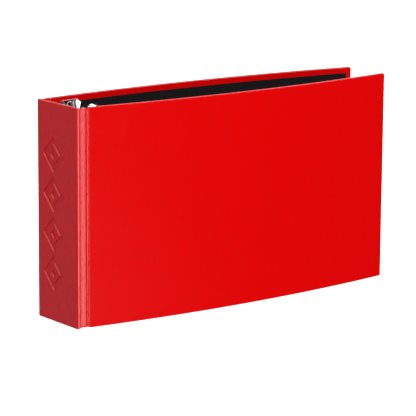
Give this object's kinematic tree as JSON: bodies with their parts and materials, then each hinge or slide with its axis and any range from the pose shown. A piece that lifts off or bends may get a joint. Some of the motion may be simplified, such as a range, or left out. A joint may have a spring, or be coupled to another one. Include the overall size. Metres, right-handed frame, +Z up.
{
  "type": "landscape ring binder with arch mechanism",
  "caption": "Landscape binder for bank statements: a red film-covered board case with splayed covers, a pressed spine and a lever-operated arch mechanism.",
  "frame": {"origin": "centre of the spine's foot, on the surface that the binder stands on, at the spine's mid-thickness", "axes": "+Z up along the spine; +X from the spine to the fore edges; -Y towards the front cover, +Y towards the back cover"},
  "size_m": [0.2496, 0.0578, 0.14],
  "materials": {
    "red_film": "semi-gloss red wrapping film with a faint leather-like grain",
    "black_paper": "matte black lining paper with a fine embossed tooth",
    "greyboard": "bare greyboard, sealed inside the wrap",
    "chromed_steel": "bright plated pressed steel and wire",
    "plated_steel": "dull nickel-plated steel"
  },
  "bodies": {
    "spine": {"spine_board": "greyboard", "spine_wrap": "red_film", "spine_lining": "black_paper"},
    "front_strip": {"front_hinge_strip": "red_film", "front_hinge_lining": "black_paper"},
    "front_cover": {"front_board": "greyboard", "front_wrap": "red_film", "front_lining": "black_paper"},
    "back_strip": {"back_hinge_strip": "red_film", "back_hinge_lining": "black_paper"},
    "back_cover": {"back_board": "greyboard", "back_wrap": "red_film", "back_lining": "black_paper", "base_plate": "chromed_steel", "plate_rivets": "plated_steel", "lower_post": "chromed_steel", "upper_post": "chromed_steel", "lever_pin": "plated_steel", "return_spring": "plated_steel"},
    "arches": {"arch_frame": "chromed_steel"},
    "lever": {"release_lever": "chromed_steel", "roller_pin": "plated_steel"},
    "roller": {"cam_roller": "plated_steel"}
  },
  "joints": [
    {"name": "front_strip_fold", "type": "hinge", "parent": "spine", "child": "front_strip", "pos_m": [0.0018, -0.02075, 0.07], "axis": [0, 0, -1], "range_deg": [0, 90]},
    {"name": "front_cover_fold", "type": "hinge", "parent": "front_strip", "child": "front_cover", "pos_m": [0.0066, -0.02075, 0.07], "axis": [0, 0, -1], "range_deg": [-3, 90]},
    {"name": "back_strip_fold", "type": "hinge", "parent": "spine", "child": "back_strip", "pos_m": [0.0018, 0.02075, 0.07], "axis": [0, 0, 1], "range_deg": [0, 90]},
    {"name": "back_cover_fold", "type": "hinge", "parent": "back_strip", "child": "back_cover", "pos_m": [0.0066, 0.02075, 0.07], "axis": [0, 0, 1], "range_deg": [-2, 90]},
    {"name": "lever_press", "type": "hinge", "parent": "back_cover", "child": "lever", "pos_m": [0.02663, 0.01134, 0.128], "axis": [-0.9969, -0.0792, 0], "range_deg": [0, 33]},
    {"name": "arch_swing", "type": "hinge", "parent": "back_cover", "child": "arches", "pos_m": [0.01544, 0.01327, 0.07], "axis": [0, 0, -1], "range_deg": [0, 33]},
    {"name": "roller_spin", "type": "hinge", "parent": "lever", "child": "roller", "pos_m": [0.02247, 0.00936, 0.119], "axis": [0.9969, 0.0792, 0], "continuous": true}
  ],
  "couplings": [
    {"joint": "arch_swing", "follows": "lever_press", "ratio": 1}
  ]
}
